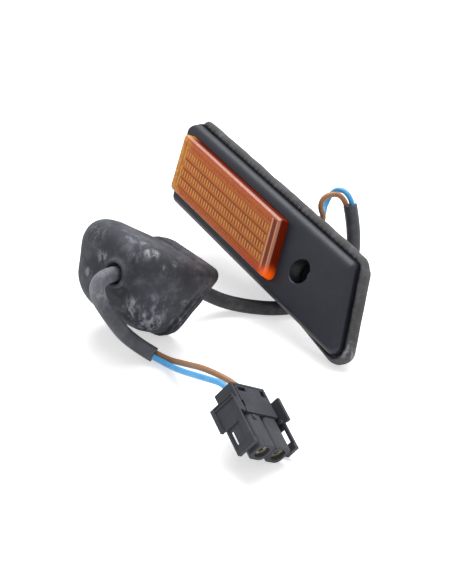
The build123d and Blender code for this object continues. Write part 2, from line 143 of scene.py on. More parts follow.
class Graph:
    """Node graph of one material, round its Principled shader."""

    def __init__(self, name: str) -> None:
        """Start a material with only a shader and its output.

        Args:
            name: Name of the material.
        """
        self.material = bpy.data.materials.new(name)
        self.material.use_nodes = True
        self.tree = self.material.node_tree
        self.shader = self.tree.nodes["Principled BSDF"]
        self.place = self.add("ShaderNodeTexCoord").outputs["Object"]

    def add(self, kind: str, **settings: object) -> bpy.types.Node:
        """Add a node.

        Args:
            kind: Blender's name of the node type.
            settings: Properties to set on it.

        Returns:
            The new node.
        """
        node = self.tree.nodes.new(kind)
        for name, value in settings.items():
            setattr(node, name, value)
        return node

    def feed(self, socket: Socket, value: object) -> None:
        """Link an output to a socket, or set the socket to a plain value.

        Args:
            socket: Input that is fed.
            value: Output socket or plain value.
        """
        if isinstance(value, bpy.types.NodeSocket):
            self.tree.links.new(value, socket)
        else:
            socket.default_value = value

    def fix(self, **values: object) -> None:
        """Set or link inputs of the shader.

        Args:
            values: What each input gets, with an underscore for a blank in its name.
        """
        for name, value in values.items():
            self.feed(self.shader.inputs[name.replace("_", " ")], value)

    def noise(self, scale: float, detail: float = 3.0, rough: float = 0.55,
              stretch: Point = (1.0, 1.0, 1.0)) -> Socket:
        """Cloudy value from 0 to 1.

        Args:
            scale: Clouds in a metre.
            detail: Octaves of finer clouds.
            rough: Weight of the finer clouds.
            stretch: Factors on the three directions.

        Returns:
            The value's socket.
        """
        spread = self.add("ShaderNodeMapping")
        self.feed(spread.inputs["Vector"], self.place)
        spread.inputs["Scale"].default_value = stretch
        clouds = self.add("ShaderNodeTexNoise")
        self.feed(clouds.inputs["Vector"], spread.outputs["Vector"])
        clouds.inputs["Scale"].default_value = scale
        clouds.inputs["Detail"].default_value = detail
        clouds.inputs["Roughness"].default_value = rough
        return clouds.outputs["Fac"]

    def span(self, value: Socket, low: float, high: float,
             to_low: float = 0.0, to_high: float = 1.0) -> Socket:
        """Map the stretch from low to high onto another, smoothly and clamped.

        Args:
            value: What is mapped.
            low: Value that becomes to_low.
            high: Value that becomes to_high.
            to_low: Result at low.
            to_high: Result at high.

        Returns:
            The result's socket.
        """
        node = self.add("ShaderNodeMapRange", interpolation_type="SMOOTHSTEP")
        for socket, given in zip(node.inputs, (value, low, high, to_low, to_high)):
            self.feed(socket, given)
        return node.outputs["Result"]

    def maths(self, operation: str, first: object, second: object = 0.0) -> Socket:
        """One sum on two values.

        Args:
            operation: Blender's name of the operation.
            first: Number or socket.
            second: Number or socket.

        Returns:
            The result's socket.
        """
        node = self.add("ShaderNodeMath", operation=operation)
        self.feed(node.inputs[0], first)
        self.feed(node.inputs[1], second)
        return node.outputs["Value"]

    def blend(self, share: object, first: object, second: object) -> Socket:
        """Mix two colours.

        Args:
            share: Share of the second colour.
            first: Colour or socket.
            second: Colour or socket.

        Returns:
            The mixed colour's socket.
        """
        node = self.add("ShaderNodeMix", data_type="RGBA")
        self.feed(node.inputs["Factor"], share)
        self.feed(node.inputs[MIX_FIRST], first)
        self.feed(node.inputs[MIX_SECOND], second)
        return node.outputs[MIX_RESULT]

    def near(self, patch: Patch) -> Socket:
        """Soft spot round a place.

        Args:
            patch: Place, reach and weight of the spot.

        Returns:
            Value that falls from the weight at the centre to 0.
        """
        gap = self.add("ShaderNodeVectorMath", operation="DISTANCE")
        self.feed(gap.inputs[0], self.place)
        gap.inputs[1].default_value = patch.centre
        return self.span(gap.outputs["Value"], 0.0, patch.reach, patch.weight, 0.0)

    def local(self, place: Placement) -> tuple[Socket, Socket, Socket]:
        """Millimetres in a sub-assembly's own frame.

        Args:
            place: Resting place of the sub-assembly.

        Returns:
            Sockets of the three coordinates.
        """
        turn = self.add("ShaderNodeMapping", vector_type="TEXTURE")
        self.feed(turn.inputs["Vector"], self.place)
        turn.inputs["Location"].default_value = place.at
        turns = (place.roll, place.pitch, place.heading)
        turn.inputs["Rotation"].default_value = [radians(angle) for angle in turns]
        turn.inputs["Scale"].default_value = (MM, MM, MM)
        parts = self.add("ShaderNodeSeparateXYZ")
        self.feed(parts.inputs["Vector"], turn.outputs["Vector"])
        return parts.outputs["X"], parts.outputs["Y"], parts.outputs["Z"]

    def facing(self, way: Vector) -> Socket:
        """Measure how far the surface faces a direction.

        Args:
            way: Direction of length 1.

        Returns:
            Value from -1 to 1.
        """
        along = self.add("ShaderNodeVectorMath", operation="DOT_PRODUCT")
        self.feed(along.inputs[0], self.add("ShaderNodeNewGeometry").outputs["Normal"])
        along.inputs[1].default_value = way
        return along.outputs["Value"]

    def stripes(self, value: Socket, start: float, pitch: float) -> Socket:
        """Even stripes.

        Args:
            value: Place across the stripes.
            start: Where the first stripe begins.
            pitch: Width of a stripe.

        Returns:
            Value from 0 in the middle of a stripe to 1 between stripes.
        """
        turns = self.maths("DIVIDE", self.maths("SUBTRACT", value, start), pitch)
        middle = self.maths("SUBTRACT", self.maths("FRACT", turns), 0.5)
        return self.maths("MULTIPLY", self.maths("ABSOLUTE", middle), 2.0)

    def within(self, value: Socket, low: float, high: float, soft: float) -> Socket:
        """Value of 1 between two limits.

        Args:
            value: What is tested.
            low: Lower limit.
            high: Upper limit.
            soft: Distance over which it fades.

        Returns:
            The result's socket.
        """
        above = self.span(value, low - soft, low + soft)
        below = self.span(value, high - soft, high + soft, 1.0, 0.0)
        return self.maths("MULTIPLY", above, below)

    def edges(self, radius: float) -> tuple[Socket, Socket]:
        """Rounded normal at sharp edges, and where those edges are.

        Args:
            radius: Radius of the rounding.

        Returns:
            The normal's socket, and a value that rises from 0 at the edges.
        """
        soft = self.add("ShaderNodeBevel", samples=4)
        soft.inputs["Radius"].default_value = radius
        hard = self.add("ShaderNodeNewGeometry").outputs["Normal"]
        along = self.add("ShaderNodeVectorMath", operation="DOT_PRODUCT")
        self.feed(along.inputs[0], soft.outputs["Normal"])
        self.feed(along.inputs[1], hard)
        return soft.outputs["Normal"], self.span(along.outputs["Value"], 1.0, 0.8)

    def bump(self, height: Socket, depth: float, normal: Socket | None = None) -> Socket:
        """Relief from a height value.

        Args:
            height: Value from 0 to 1.
            depth: Height in metres that 1 stands for.
            normal: Normal to add the relief to.

        Returns:
            The normal's socket.
        """
        node = self.add("ShaderNodeBump")
        self.feed(node.inputs["Height"], height)
        node.inputs["Distance"].default_value = depth
        if normal is not None:
            self.feed(node.inputs["Normal"], normal)
        return node.outputs["Normal"]


@dataclass(frozen=True)
class MouldedPlastic:
    """Charcoal moulded plastic with a fine satin grain, paler rubbed edges, and painted shade round
    given places, such as a recess.

    Here and in the other finishes, clouds, marks and grain are counted to a metre.
    """

    name: str
    colour: Colour
    shade: float = 0.75
    clouds: float = 90.0
    roughness: float = 0.5
    swing: Span = (-0.06, 0.08)
    grain: float = 1800.0
    grain_depth: float = 0.03 * MM
    edge: float = 0.25 * MM
    edge_colour: Colour = tone(92, 94, 100)
    edge_share: float = 0.35
    edge_marks: float = 420.0
    sheen: float = 0.25
    # places darkened by painted shade, and the near-black of that shade
    shaded_hollows: tuple[Patch, ...] = ()
    hollow_shade: Colour = tone(6, 6, 7)

    def material(self) -> bpy.types.Material:
        """Build the finish.

        Returns:
            The new material.
        """
        g = Graph(self.name)
        normal, rim = g.edges(self.edge)
        darker = (*[self.shade * part for part in self.colour[:3]], 1.0)
        base = g.blend(g.span(g.noise(self.clouds, 4.0), 0.35, 0.65), darker, self.colour)
        # painted shade round the given places, such as a recess
        for hollow_shade in self.shaded_hollows:
            base = g.blend(g.span(g.near(hollow_shade), 0.0, 0.3), base, self.hollow_shade)
        marks = g.span(g.noise(self.edge_marks), 0.35, 0.7, 0.0, self.edge_share)
        worn = g.maths("MULTIPLY", rim, marks)
        grain = g.noise(self.grain, 2.0)
        low, high = [self.roughness + change for change in self.swing]
        g.fix(Base_Color=g.blend(worn, base, self.edge_colour),
              Roughness=g.span(grain, 0.3, 0.7, low, high),
              Specular_IOR_Level=self.sheen,
              Normal=g.bump(grain, self.grain_depth, normal))
        return g.material


@dataclass(frozen=True)
class DustyRubber:
    """Dark matte rubber, dusty in its grain and lighter where rubbed, and where given, with painted
    sheen and painted shade.
    """

    name: str
    colour: Colour
    tint: Point = (0.85, 0.8, 0.78)
    clouds: float = 70.0
    dust_and_sheen: Colour = tone(190, 190, 200)
    haze: float = 0.12
    haze_clouds: float = 160.0
    streaks: float = 420.0
    streak_stretch: Point = (1.0, 1.0, 0.45)
    cover: float = 0.85
    roughness: float = 0.72
    dusty_roughness: float = 0.92
    grain: float = 1400.0
    relief: float = 0.06 * MM
    # rubbed patches of dust; on the sheath they also paint a highlight
    scuffs_and_sheen: tuple[Patch, ...] = ()
    # painted sheen, in the dust colour
    painted_sheens: tuple[Patch, ...] = ()
    # darker patches and their colour: a browner tone on the boot, painted shade on the sheath
    stains_and_shades: tuple[Patch, ...] = ()
    stain_and_shade: Colour = tone(52, 43, 42)
    sheen: float = 0.25

    def material(self) -> bpy.types.Material:
        """Build the finish.

        Returns:
            The new material.
        """
        g = Graph(self.name)
        cloud = g.noise(self.clouds, 5.0, 0.6)
        brown = (*[part * share for part, share in zip(self.colour, self.tint)], 1.0)
        base = g.blend(g.span(cloud, 0.3, 0.7), brown, self.colour)
        # darker patches: painted shade on the sheath, a browner tone on the boot
        for stain_and_shade in self.stains_and_shades:
            base = g.blend(g.near(stain_and_shade), base, self.stain_and_shade)
        film_and_sheen = g.span(g.noise(self.haze_clouds, 6.0, 0.65), 0.42, 0.78, 0.0, self.haze)
        streak = g.span(g.noise(self.streaks, 6.0, 0.7, self.streak_stretch), 0.44, 0.68)
        # dust on rubbed patches, which on the sheath also paint a highlight
        for scuff_and_sheen in self.scuffs_and_sheen:
            film_and_sheen = g.maths("ADD", film_and_sheen, g.maths("MULTIPLY", g.near(scuff_and_sheen), streak))
        # painted sheen, added to the dust film
        for sheen_patch in self.painted_sheens:
            film_and_sheen = g.maths("ADD", film_and_sheen, g.near(sheen_patch))
        film_and_sheen = g.maths("MINIMUM", film_and_sheen, self.cover)
        grain = g.noise(self.grain, 3.0)
        uneven = g.maths("ADD", grain, g.maths("MULTIPLY", cloud, 2.0))
        g.fix(Base_Color=g.blend(film_and_sheen, base, self.dust_and_sheen),
              Roughness=g.span(film_and_sheen, 0.0, 0.6, self.roughness, self.dusty_roughness),
              Specular_IOR_Level=self.sheen,
              Normal=g.bump(uneven, self.relief))
        return g.material


@dataclass(frozen=True)
class FlutedAmber:
    """Amber acrylic over rows of fine flutes, polished outside, with painted light: a deeper red
    painted shade on the walls, painted highlights on the rounded rim and ribs, and painted glows.

    Places and pitches are millimetres in the lamp's own frame. The rows' band and ticks are
    shares of a row, and the dots are measured from the edges of the field of flutes.
    """

    name: str
    place: Placement
    slant: float
    field_x: Span
    field_y: Span
    flutes: int
    rows: int
    glows: tuple[Patch, ...]
    row_band: Span = (0.1, 0.95)
    row_ticks: Span = (0.34, 0.96)
    dots_high: Span = (1.2, 2.2)
    dots_low: Span = (-1.2, -0.4)
    dots_left: Span = (-2.4, -0.4)
    rib_at: float = 78.0
    rib_pitch: float = 3.5
    warm_end: float = 34.0
    wall_at: float = 4.2
    wall_pitch: float = 1.1
    light: Colour = tone(255, 164, 76)
    dark: Colour = tone(118, 52, 14)
    plain: Colour = tone(224, 116, 34)
    # golden tone at the left end; also the colour of the painted glow at the top-left corner
    golden: Colour = tone(250, 176, 70)
    # painted highlights on the ribs and on the right-hand rim, with the darker rib colour between
    pale_highlight: Colour = tone(255, 176, 124)
    rib: Colour = tone(134, 52, 20)
    # painted highlight on the rounded rim, and a pinker painted band where the rim meets the front;
    # the same pink also mottles the left border
    bevel_highlight: Colour = tone(206, 142, 122)
    flush: Colour = tone(196, 92, 62)
    # painted shade of the walls, in layers of two reds
    deep: Colour = tone(126, 30, 5)
    wine: Colour = tone(150, 48, 10)
    # painted glow along the lower edge towards the right
    ember: Colour = tone(222, 74, 10)
    # painted glow at the bright lower right corner, also given as emission
    glow: Colour = tone(255, 100, 14)
    clear: float = 0.2
    refraction: float = 1.49
    # strength and size of the painted emission that makes the bright corner glow, though the lamp is
    # unlit
    glow_power: float = 0.5
    glow_core: float = 7 / 8
    roughness: float = 0.08
    tick_clouds: float = 240.0
    border_clouds: float = 620.0
    smears: float = 500.0
    ripples: float = 260.0
    ripple: float = 0.03 * MM

    def front(self, g: Graph, along: Socket, y: Socket) -> Socket:
        """Colour of the front: ticks in rows, dotted borders, ribs at the plain end with painted
        highlights, and a painted glow along the lower edge towards the right.

        Args:
            g: Graph of the material.
            along: Place along the slanted lens.
            y: Place across it.

        Returns:
            The colour's socket.
        """
        (left, right), (low, high) = self.field_x, self.field_y
        pitch, row = (right - left) / self.flutes, (high - low) / self.rows
        level = g.maths("FRACT", g.maths("DIVIDE", g.maths("SUBTRACT", y, low), row))
        uneven = g.span(g.noise(self.tick_clouds, 3.0), 0.3, 0.7, 0.6, 1.0)
        tick = g.maths("MULTIPLY", g.span(g.stripes(along, left, pitch), 0.15, 0.85), uneven)
        band = g.blend(g.within(level, *self.row_band, 0.1), self.dark, self.plain)
        ticks = g.blend(tick, self.light, self.dark)
        cells = g.blend(g.within(level, *self.row_ticks, 0.06), band, ticks)
        border = g.blend(g.span(along, left - 2.0, left + 3.0, 1.0, 0.0), self.plain, self.golden)
        mottle = g.span(g.noise(self.border_clouds, 2.0), 0.42, 0.62, 0.0, 0.55)
        border = g.blend(mottle, border, self.flush)
        above = g.within(y, high + self.dots_high[0], high + self.dots_high[1], 0.3)
        below = g.within(y, low + self.dots_low[0], low + self.dots_low[1], 0.3)
        beside = g.within(along, left + self.dots_left[0], left + self.dots_left[1], 0.4)
        dots = g.maths("MAXIMUM", g.maths("MAXIMUM", above, below), beside)
        border = g.blend(g.maths("MULTIPLY", g.maths("MULTIPLY", tick, dots), 0.6), border, self.dark)
        inside = g.maths("MULTIPLY", g.within(along, left, right, 0.3), g.within(y, low, high, 0.2))
        front = g.blend(inside, border, cells)
        # ribs at the plain end, drawn as stripes with painted highlights
        rib = g.span(g.stripes(along, self.rib_at - self.rib_pitch / 2, self.rib_pitch), 0.12, 0.45)
        front = g.blend(g.span(along, right, right + 0.5), front, g.blend(rib, self.pale_highlight, self.rib))
        # painted glow along the lower edge, rising towards the right end
        ember_glow = g.maths("MULTIPLY", g.span(along, right - self.warm_end, right),
                       g.span(y, low + 1.0, low - 1.6))
        return g.blend(ember_glow, front, self.ember)

    def material(self) -> bpy.types.Material:
        """Build the finish.

        Returns:
            The new material.
        """
        g = Graph(self.name)
        x, y, z = g.local(self.place)
        along = g.maths("ADD", x, g.maths("MULTIPLY", y, 1 / tan(self.slant)))
        out = g.facing(self.place.matrix().to_3x3().col[2])
        # painted shade on the walls, in layers
        wall_shade_layers = g.stripes(z, self.wall_at, self.wall_pitch)
        wall = g.blend(g.span(wall_shade_layers, 0.3, 0.8), self.deep, self.wine)
        # painted highlight on the rounded rim, then a pinker painted band before the front
        body = g.blend(g.span(out, 0.2, 0.4), wall, self.bevel_highlight)
        body = g.blend(g.span(out, 0.86, 0.95), body, self.flush)
        body = g.blend(g.span(out, 0.98, 0.998), body, self.front(g, along, y))
        body = g.blend(g.span(out, -0.3, -0.8), body, self.plain)
        # painted glows: the bright corner and the golden top-left corner
        for spot, colour in zip(self.glows, (self.glow, self.golden)):
            body = g.blend(g.near(spot), body, colour)
        # painted emission at the bright corner: the lens glows though the lamp is unlit
        warmest = self.glows[0]
        lit = g.near(Patch(warmest.centre, warmest.reach * self.glow_core, self.glow_power))
        smears = g.noise(self.smears, 4.0)
        g.fix(Base_Color=body,
              Roughness=g.span(smears, 0.4, 0.75, self.roughness, self.roughness + 0.08),
              IOR=self.refraction,
              Specular_IOR_Level=g.span(out, 0.3, 0.9, 0.1, 0.3),
              Transmission_Weight=self.clear,
              Emission_Color=self.glow,
              Emission_Strength=lit,
              Normal=g.bump(g.noise(self.ripples, 2.0), self.ripple))
        return g.material


@dataclass(frozen=True)
class WireJacket:
    """Soft plastic insulation with a slight gloss and faint handling marks."""

    name: str
    colour: Colour
    shade: Colour
    roughness: float = 0.42
    marks: float = 320.0
    grain: float = 900.0
    relief: float = 0.02 * MM

    def material(self) -> bpy.types.Material:
        """Build the finish.

        Returns:
            The new material.
        """
        g = Graph(self.name)
        marks = g.noise(self.marks, 4.0, 0.6)
        g.fix(Base_Color=g.blend(g.span(marks, 0.5, 0.8, 0.0, 0.5), self.colour, self.shade),
              Roughness=g.span(marks, 0.3, 0.7, self.roughness - 0.05, self.roughness + 0.1),
              Normal=g.bump(g.noise(self.grain, 2.0), self.relief))
        return g.material


@dataclass(frozen=True)
class BareMetal:
    """Thin metal with a mottled tarnish."""

    name: str
    colour: Colour
    tarnish: Colour
    roughness: float = 0.3
    spots: float = 600.0
    grain: float = 1500.0
    relief: float = 0.01 * MM

    def material(self) -> bpy.types.Material:
        """Build the finish.

        Returns:
            The new material.
        """
        g = Graph(self.name)
        spots = g.noise(self.spots, 5.0, 0.6)
        g.fix(Base_Color=g.blend(g.span(spots, 0.4, 0.75), self.colour, self.tarnish),
              Metallic=1.0,
              Roughness=g.span(spots, 0.3, 0.8, self.roughness, self.roughness + 0.25),
              Normal=g.bump(g.noise(self.grain, 2.0), self.relief))
        return g.material


@dataclass(frozen=True)
class BulbGlass:
    """Clear blown glass with a faint film."""

    name: str
    colour: Colour
    refraction: float = 1.5
    film_and_sheen: float = 700.0

    def material(self) -> bpy.types.Material:
        """Build the finish.

        Returns:
            The new material.
        """
        g = Graph(self.name)
        g.fix(Base_Color=self.colour, Transmission_Weight=1.0, IOR=self.refraction,
              Roughness=g.span(g.noise(self.film_and_sheen), 0.4, 0.8, 0.0, 0.08))
        return g.material


def settled(name: str, mesh: bmesh.types.BMesh) -> bpy.types.Mesh:
    """Turn a working mesh into mesh data.

    Args:
        name: Name of the data.
        mesh: Working mesh, which is freed.

    Returns:
        The mesh data.
    """
    data = bpy.data.meshes.new(name)
    mesh.to_mesh(data)
    mesh.free()
    return data


def applied(piece: bpy.types.Object) -> bpy.types.Mesh:
    """Take the mesh that a piece's modifiers make of it.

    Args:
        piece: Piece with modifiers.

    Returns:
        The new mesh data.
    """
    graph = bpy.context.evaluated_depsgraph_get()
    return bpy.data.meshes.new_from_object(piece.evaluated_get(graph))


def link_mesh(name: str, mesh: bpy.types.Mesh, sharp: float) -> bpy.types.Object:
    """Put a mesh in the scene, smooth but for its sharp edges.

    Args:
        name: Name of the piece.
        mesh: Its mesh.
        sharp: Edges that turn by more than this many degrees stay sharp.

    Returns:
        The new object.
    """
    mesh.shade_smooth()
    mesh.set_sharp_from_angle(angle=radians(sharp))
    piece = bpy.data.objects.new(name, mesh)
    bpy.context.scene.collection.objects.link(piece)
    return piece


def enlist(piece: bpy.types.Object, node: str,
           material: bpy.types.Material) -> bpy.types.Object:
    """Let a new piece stand for a node of the frame.

    Args:
        piece: The new piece.
        node: Node that it stands for.
        material: Its finish.

    Returns:
        The piece.
    """
    piece.data.materials.clear()
    piece.data.materials.append(material)
    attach(piece, BODY)
    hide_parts(node)
    log.info("piece %s stands for %s", piece.name, node)
    return piece


def dress(node: str, material: bpy.types.Material) -> bpy.types.Object:
    """Give a node of the frame its finish.

    Args:
        node: Name of the node.
        material: Its finish.

    Returns:
        The node's object.
    """
    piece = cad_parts[node]
    piece.data.materials.clear()
    piece.data.materials.append(material)
    log.info("node %s has finish %s", node, material.name)
    return piece


def softened(node: str, name: str, voxel: float, rounds: int,
             wave: float, period: float) -> bpy.types.Object:
    """Rubber copy of a node, with rounded edges and a slightly uneven surface.

    Args:
        node: Node whose form is taken.
        name: Name of the new piece.
        voxel: Size of the new mesh's cells.
        rounds: Rounds of smoothing.
        wave: Height of the unevenness.
        period: Length of one wave.

    Returns:
        The new object.
    """
    copy = bpy.data.objects.new(name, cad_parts[node].data.copy())
    bpy.context.scene.collection.objects.link(copy)
    remesh = copy.modifiers.new("cells", "REMESH")
    remesh.mode = "VOXEL"
    remesh.voxel_size = voxel
    smooth = copy.modifiers.new("soft", "SMOOTH")
    smooth.factor = EASING
    smooth.iterations = rounds
    mesh = applied(copy)
    bpy.data.objects.remove(copy)
    normals = [vertex.normal.copy() for vertex in mesh.vertices]
    for vertex, normal in zip(mesh.vertices, normals):
        vertex.co += normal * (wave * noise.noise(vertex.co / period))
    mesh.name = name
    return link_mesh(name, mesh, ALL_SMOOTH)


def fade(value: float, start: float, over: float) -> float:
    """Rise from 0 to 1.

    Args:
        value: Where to read.
        start: Place of the 0.
        over: Distance from there to the 1.

    Returns:
        Value from 0 to 1.
    """
    return min(max((value - start) / over, 0.0), 1.0)


def between(value: float, knots: tuple[Span, ...]) -> float:
    """Read a value off straight lines between knots, and beyond the outer ones.

    Args:
        value: Where to read.
        knots: Pairs of place and value, in rising order.

    Returns:
        The value there.
    """
    pairs = list(zip(knots, knots[1:]))
    (a, b), (c, d) = next((pair for pair in pairs if value <= pair[1][0]), pairs[-1])
    return b + (d - b) * (value - a) / (c - a)


@dataclass(frozen=True)
class Slab:
    """Slanted outline with rounded corners, in millimetres; its sides run low, right, high, left."""

    x: Span
    y: Span
    slant: float
    radii: Sides
    least_radius: float = 0.5
    steps: int = 8
    margin: float = 0.3

    def loop(self, height: float, *inset: float) -> Loop:
        """Points round the outline.

        Args:
            height: Height above the seam.
            inset: Distance by which all sides move in, or one for each side.

        Returns:
            Points in order round the outline, from its low left corner.
        """
        low, right, high, left = inset * 4 if len(inset) == 1 else inset
        bottom, top = self.y[0] + low, self.y[1] - high
        first = self.x[0] + left / sin(self.slant)
        last = self.x[1] - right / sin(self.slant)
        corners = [Vector((x - y / tan(self.slant), y)) for x, y in
                   ((first, bottom), (last, bottom), (last, top), (first, top))]
        sides = (low, left), (low, right), (high, right), (high, left)
        points = []
        for i, (corner, full, pair) in enumerate(zip(corners, self.radii, sides)):
            radius = max(full - max(pair), self.least_radius)
            back, on = [(corners[j % 4] - corner).normalized() for j in (i - 1, i + 1)]
            half = back.angle(on) / 2
            centre = corner + (back + on).normalized() * (radius / sin(half))
            start = corner + back * (radius / tan(half)) - centre
            for step in range(self.steps + 1):
                angle = atan2(start.y, start.x) + (pi - 2 * half) * step / self.steps
                on_arc = centre + Vector((cos(angle), sin(angle))) * radius
                points.append(Vector((*on_arc, height)))
        return points

    def crown(self, front: float, depth: float, widths: Sides, base: float = 0.0) -> list[Loop]:
        """Rounded rim, from the front down to the side.

        Args:
            front: Height of the front.
            depth: Height of the rounding.
            widths: Width of the rounding on each side.
            base: Inset of the sides.

        Returns:
            Outlines from the front down.
        """
        loops = [self.loop(front, *[base + width + self.margin for width in widths])]
        for step in range(self.steps + 1):
            angle = pi / 2 * (1 - step / self.steps)
            inset = [base + width * (1 - cos(angle)) for width in widths]
            loops.append(self.loop(front - depth * (1 - sin(angle)), *inset))
        return loops


def circle(centre: Span, radius: float, height: float, sides: int = 48) -> Loop:
    """Points round a circle.

    Args:
        centre: Its middle.
        radius: Its radius.
        height: Height above the seam.
        sides: Number of points.

    Returns:
        Points in order.
    """
    angles = [2 * pi * i / sides for i in range(sides)]
    return [Vector((centre[0] + radius * cos(a), centre[1] + radius * sin(a), height))
            for a in angles]


class Shell:
    """Closed mesh made of tubes and flat caps."""

    def __init__(self) -> None:
        """Start an empty mesh."""
        self.mesh = bmesh.new()

    def tube(self, loops: list[Loop]) -> tuple[Edges, Edges]:
        """Join outlines in order.

        Args:
            loops: Outlines with equal numbers of points.

        Returns:
            Edges of the first and of the last outline.
        """
        rings = [[self.mesh.verts.new(point) for point in loop] for loop in loops]
        for upper, lower in zip(rings, rings[1:]):
            for i, vertex in enumerate(upper):
                self.mesh.faces.new((upper[i - 1], vertex, lower[i], lower[i - 1]))
        first, last = [[self.mesh.edges.get((ring[i - 1], vertex)) for i, vertex in enumerate(ring)]
                       for ring in (rings[0], rings[-1])]
        return first, last

    def cap(self, edges: Edges) -> None:
        """Fill the flat field between closed rows of edges."""
        bmesh.ops.triangle_fill(self.mesh, use_beauty=True, edges=edges)

    def piece(self, name: str, place: Placement, sharp: float) -> bpy.types.Object:
        """Put the mesh in its place.

        Args:
            name: Name of the piece.
            place: Resting place of its sub-assembly.
            sharp: Edges that turn by more than this many degrees stay sharp.

        Returns:
            The new object.
        """
        bmesh.ops.recalc_face_normals(self.mesh, faces=self.mesh.faces)
        self.mesh.transform(place.matrix() @ Matrix.Scale(MM, 4))
        return link_mesh(name, settled(name, self.mesh), sharp)


@dataclass
class Lamp:
    """Lamp head: plate, fluted lens, gasket, chamber, bulb and holder.

    Its sizes are millimetres in its own frame: X along, Y across, Z out from the seam.
    """

    place: Placement = Placement((-0.05728, -0.02294, 0.02504), 0.0, 9.6, 53.3)
    # lens
    lens_form: Slab = Slab((5.4, 83.2), (4.9, 29.3), radians(62.5), (2.8, 2.8, 1.4, 1.6))
    field_x: Span = (11.0, 77.0)
    field_y: Span = (8.3, 23.6)
    lip: float = 1.0
    lip_thick: float = 1.6
    rise: float = 5.0
    draft: float = 0.5
    crown: float = 2.0
    crown_widths: Sides = (0.5, 0.9, 2.1, 0.4)
    wall: float = 1.7
    skin: float = 2.0
    lens_sharp: float = 28.0
    flutes: int = 36
    rows: int = 4
    flute_depth: float = 0.55
    flute_steps: int = 4
    row_gap: float = 0.35
    # painted glows of light gathered in the lens: the bright lower right corner and the golden
    # top-left corner
    glows: tuple[Point, ...] = ((79.0, 6.0, 7.5), (-8.6, 29.0, 6.5))
    glow_reach: float = 8.0
    glow_weight: float = 0.95
    # plate
    plate_form: Slab = Slab((2.8, 129.0), (0.6, 34.8), radians(58.3), (3.6, 3.6, 3.6, 4.8))
    plate_front: float = 4.2
    plate_under: float = 2.1
    plate_back: float = -1.4
    plate_round: float = 2.8
    plate_widths: Sides = (2.4, 2.4, 4.0, 1.6)
    skirt: float = 1.5
    fit: float = 0.15
    plate_sharp: float = 32.0
    screw: Span = (88.0, 17.1)
    # radius and height of the screw recess, from its mouth down and back up outside
    recess: tuple[Span, ...] = (
        (5.5, 4.2), (5.2, 3.9), (5.2, -5.0), (2.7, -5.0), (2.7, -7.4), (6.6, -7.4), (6.6, 2.1))
    # middle height and reach of the painted shade in and round the screw recess
    recess_shade_middle: float = -1.5
    recess_shade_reach: float = 7.6
    # gasket
    ring_voxel: float = 0.5
    ring_rounds: int = 3
    ring_wave: float = 0.12
    ring_period: float = 9.0
    # places on the solid gasket, and where the scene's gasket has them
    pull_along: tuple[Span, ...] = ((0.0, 0.0), (127.0, 127.0), (131.7, 132.8))
    pull_across: tuple[Span, ...] = (
        (-2.6, 0.4), (0.0, 1.2), (30.0, 30.0), (36.0, 34.9), (36.7, 35.4), (37.8, 38.4))
    loose_from: float = 96.0
    loose_over: float = 30.0
    scuffs_and_sheen: tuple[Patch, ...] = (Patch((0.0685, -0.0198, 0.0085), 6 * MM),
                                 Patch((0.0695, -0.0160, 0.0064), 5 * MM))

    def spot(self, place: Point, reach: float, weight: float = 1.0) -> Patch:
        """Patch at a place on the lamp.

        Args:
            place: Its middle, in the lamp's own frame.
            reach: Distance at which it has faded out.
            weight: Its strength in the middle.

        Returns:
            The patch in the part's frame.
        """
        centre = self.place.matrix() @ (Vector(place) * MM)
        return Patch(tuple(centre), reach * MM, weight)

    def flute_grid(self, mesh: bmesh.types.BMesh, inner: float) -> Edges:
        """Flutes in rows on the inner face.

        Args:
            mesh: Mesh that they are added to.
            inner: Height of the inner face.

        Returns:
            Edges round the field of flutes.
        """
        (left, right), (low, high) = self.field_x, self.field_y
        pitch = (high - low) / self.rows
        levels = [(low, 0.0)]
        for row in range(self.rows):
            y = low + row * pitch
            levels += [(y + self.row_gap, 1.0), (y + pitch - self.row_gap, 1.0), (y + pitch, 0.0)]
        steps = self.flute_steps * self.flutes
        grid = []
        for y, full in levels:
            line = []
            for step in range(steps + 1):
                x = left + (right - left) * step / steps
                drop = self.flute_depth * full * abs(sin(pi * step / self.flute_steps))
                line.append(mesh.verts.new((x - y / tan(self.lens_form.slant), y, inner - drop)))
            grid.append(line)
        for near, far in zip(grid, grid[1:]):
            for step in range(steps):
                mesh.faces.new((near[step], near[step + 1], far[step + 1], far[step]))
        right_side, left_side = [line[-1] for line in grid[1:]], [line[0] for line in grid[-2:0:-1]]
        rim = grid[0] + right_side + grid[-1][-2::-1] + left_side
        return [mesh.edges.get(pair) for pair in zip(rim, rim[1:] + rim[:1])]

    def lens(self) -> bpy.types.Object:
        """Hollow lens with a polished front and flutes on its inner face.

        Returns:
            The new object.
        """
        form, front = self.lens_form, self.plate_front + self.rise
        seat, under, back = self.plate_front, self.plate_under, self.plate_under - self.lip_thick
        loops = form.crown(front, self.crown, self.crown_widths, self.draft)
        outside = ((seat, 0.0), (under, 0.0), (under, -self.lip), (back, -self.lip))
        inside = ((back, self.wall), (seat, self.wall), (front - self.skin, self.wall + self.draft))
        for height, inset in outside + inside:
            loops.append(form.loop(height, inset))
        shell = Shell()
        outer, inner = shell.tube(loops)
        shell.cap(outer)
        shell.cap(inner + self.flute_grid(shell.mesh, front - self.skin))
        return shell.piece("lens_body", self.place, self.lens_sharp)

